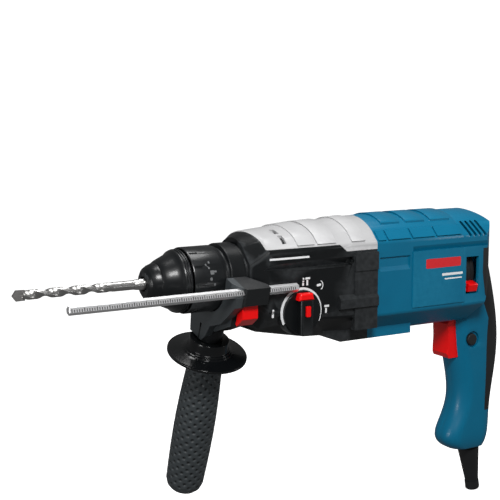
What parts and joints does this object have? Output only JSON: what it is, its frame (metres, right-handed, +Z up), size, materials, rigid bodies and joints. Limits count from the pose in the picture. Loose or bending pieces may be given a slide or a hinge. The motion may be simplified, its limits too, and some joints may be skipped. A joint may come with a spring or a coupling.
{
  "type": "rotary hammer",
  "caption": "Corded rotary hammer drill with pistol handle, side handle with guard disc and depth rod, locking chuck, mode knob and masonry bit.",
  "frame": {"origin": "spindle axis at the front face of the tool holder", "axes": "+X backwards along the spindle axis, +Z up towards the top cover, -Y towards the mode knob side"},
  "size_m": [0.479, 0.1319, 0.2785],
  "materials": {
    "black_plastic": "fine matt texture",
    "blue_plastic": "satin moulded",
    "light_plastic": "satin moulded",
    "red_plastic": "satin moulded",
    "soft_rubber": "soft touch",
    "bright_steel": "ground",
    "dark_steel": "hardened",
    "carbide": "sintered",
    "cast_aluminium": "die cast",
    "laminated_steel": "laminated",
    "copper_wire": "enamelled",
    "carbon_block": "pressed carbon",
    "grey_plastic": "fine matt texture"
  },
  "bodies": {
    "housing": {"gear_housing": "black_plastic", "top_cover": "light_plastic", "motor_housing": "blue_plastic", "gear_carrier": "cast_aluminium", "motor_flange": "cast_aluminium", "housing_screws": "dark_steel", "handle_shell_left": "blue_plastic", "handle_shell_right": "blue_plastic", "handle_rubber": "soft_rubber", "cord_guard": "soft_rubber", "switch_module": "black_plastic", "spindle_bearing": "bright_steel", "countershaft_bearings": "bright_steel", "armature_bearings": "bright_steel", "shaft_seal": "soft_rubber", "stator_core": "laminated_steel", "field_windings": "copper_wire"},
    "spindle": {"hammer_tube": "dark_steel", "spindle_gear": "dark_steel", "clutch_spring": "dark_steel", "locking_balls": "bright_steel", "dust_cap": "soft_rubber", "sleeve_spring": "dark_steel"},
    "locking_sleeve": {"locking_sleeve": "black_plastic", "locking_ring": "dark_steel"},
    "chuck_lock_ring": {"chuck_lock_ring": "black_plastic"},
    "bit": {"drill_bit": "bright_steel", "carbide_tip": "carbide"},
    "impact_bolt": {"impact_bolt": "dark_steel"},
    "striker": {"striker": "dark_steel"},
    "piston": {"piston": "cast_aluminium", "piston_pin": "dark_steel"},
    "wobble_ring": {"wobble_ring": "dark_steel"},
    "countershaft": {"countershaft": "dark_steel", "countershaft_gear": "dark_steel", "wobble_drum": "dark_steel"},
    "armature": {"armature_shaft": "bright_steel", "motor_pinion": "dark_steel", "armature_core": "laminated_steel", "armature_windings": "copper_wire", "commutator": "copper_wire", "cooling_fan": "black_plastic"},
    "brush_gear": {"brush_plate": "black_plastic", "carbon_brushes": "carbon_block", "reversing_lever": "red_plastic", "lever_shutter": "black_plastic"},
    "trigger": {"trigger": "red_plastic"},
    "lock_on": {"lock_on_button": "black_plastic"},
    "mode_knob": {"mode_knob": "black_plastic", "knob_pointer": "red_plastic"},
    "knob_lock": {"knob_lock_button": "red_plastic"},
    "shift_plate": {"shift_plate": "dark_steel"},
    "side_handle": {"clamp_band": "grey_plastic", "clamp_body": "grey_plastic", "grip_nut": "black_plastic", "clamp_bolt": "dark_steel"},
    "side_grip": {"guard_disc": "black_plastic", "side_grip": "soft_rubber"},
    "depth_rod": {"depth_rod": "bright_steel"},
    "depth_stop": {"depth_stop_button": "red_plastic"}
  },
  "joints": [
    {"name": "armature_spin", "type": "hinge", "parent": "housing", "child": "armature", "pos_m": [0.25, 0, -0.013], "axis": [1, 0, 0], "continuous": true},
    {"name": "countershaft_spin", "type": "hinge", "parent": "housing", "child": "countershaft", "pos_m": [0.15, 0, -0.034], "axis": [1, 0, 0], "continuous": true},
    {"name": "spindle_spin", "type": "hinge", "parent": "housing", "child": "spindle", "pos_m": [0, 0, 0], "axis": [1, 0, 0], "continuous": true},
    {"name": "wobble_rock", "type": "hinge", "parent": "housing", "child": "wobble_ring", "pos_m": [0.15, 0, -0.034], "axis": [0, 1, 0], "range_deg": [-11, 11]},
    {"name": "piston_slide", "type": "slide", "parent": "housing", "child": "piston", "axis": [1, 0, 0], "range_m": [-0.0065, 0.0065]},
    {"name": "striker_slide", "type": "slide", "parent": "housing", "child": "striker", "axis": [1, 0, 0], "range_m": [-0.0072, 0.007]},
    {"name": "impact_bolt_slide", "type": "slide", "parent": "spindle", "child": "impact_bolt", "axis": [1, 0, 0], "range_m": [0, 0.006]},
    {"name": "bit_slide", "type": "slide", "parent": "spindle", "child": "bit", "axis": [-1, 0, 0], "range_m": [0, 0.01]},
    {"name": "locking_sleeve_slide", "type": "slide", "parent": "spindle", "child": "locking_sleeve", "axis": [1, 0, 0], "range_m": [0, 0.008], "stiffness_N_per_m": 1500, "springref_m": -0.004, "deforming": ["sleeve_spring"]},
    {"name": "chuck_ring_turn", "type": "hinge", "parent": "spindle", "child": "chuck_lock_ring", "pos_m": [0.045, 0, 0], "axis": [1, 0, 0], "range_deg": [0, 30]},
    {"name": "reversing_lever_turn", "type": "hinge", "parent": "housing", "child": "brush_gear", "pos_m": [0.303, 0, -0.013], "axis": [1, 0, 0], "range_deg": [-34, 0]},
    {"name": "trigger_slide", "type": "slide", "parent": "housing", "child": "trigger", "axis": [1, 0, 0], "range_m": [0, 0.0055], "stiffness_N_per_m": 1200, "springref_m": -0.003},
    {"name": "lock_on_press", "type": "slide", "parent": "housing", "child": "lock_on", "axis": [0, 1, 0], "range_m": [0, 0.003], "stiffness_N_per_m": 800, "springref_m": -0.002},
    {"name": "mode_knob_turn", "type": "hinge", "parent": "housing", "child": "mode_knob", "pos_m": [0.124, -0.04, -0.0285], "axis": [0, -1, 0], "range_deg": [-95, 75]},
    {"name": "knob_lock_press", "type": "slide", "parent": "mode_knob", "child": "knob_lock", "axis": [0, 1, 0], "range_m": [0, 0.0015], "stiffness_N_per_m": 600, "springref_m": -0.001},
    {"name": "shift_plate_slide", "type": "slide", "parent": "housing", "child": "shift_plate", "axis": [1, 0, 0], "range_m": [-0.005, 0.004]},
    {"name": "side_handle_swing", "type": "hinge", "parent": "housing", "child": "side_handle", "pos_m": [0.069, 0, 0], "axis": [1, 0, 0], "range_deg": [-25, 0]},
    {"name": "side_grip_unscrew", "type": "hinge", "parent": "side_handle", "child": "side_grip", "pos_m": [0.069, 0, 0], "axis": [0, 0.3256, -0.9455], "range_deg": [0, 90]},
    {"name": "depth_rod_slide", "type": "slide", "parent": "side_handle", "child": "depth_rod", "axis": [-1, 0, 0], "range_m": [0, 0.06]},
    {"name": "depth_stop_press", "type": "slide", "parent": "side_handle", "child": "depth_stop", "axis": [0, 0.9455, 0.3256], "range_m": [0, 0.0018], "stiffness_N_per_m": 900, "springref_m": -0.0015}
  ],
  "couplings": [
    {"joint": "countershaft_spin", "follows": "armature_spin", "ratio": -0.27273},
    {"joint": "spindle_spin", "follows": "armature_spin", "ratio": 0.098182},
    {"joint": "wobble_rock", "follows": "piston_slide", "rad_per_m": 29.4}
  ]
}
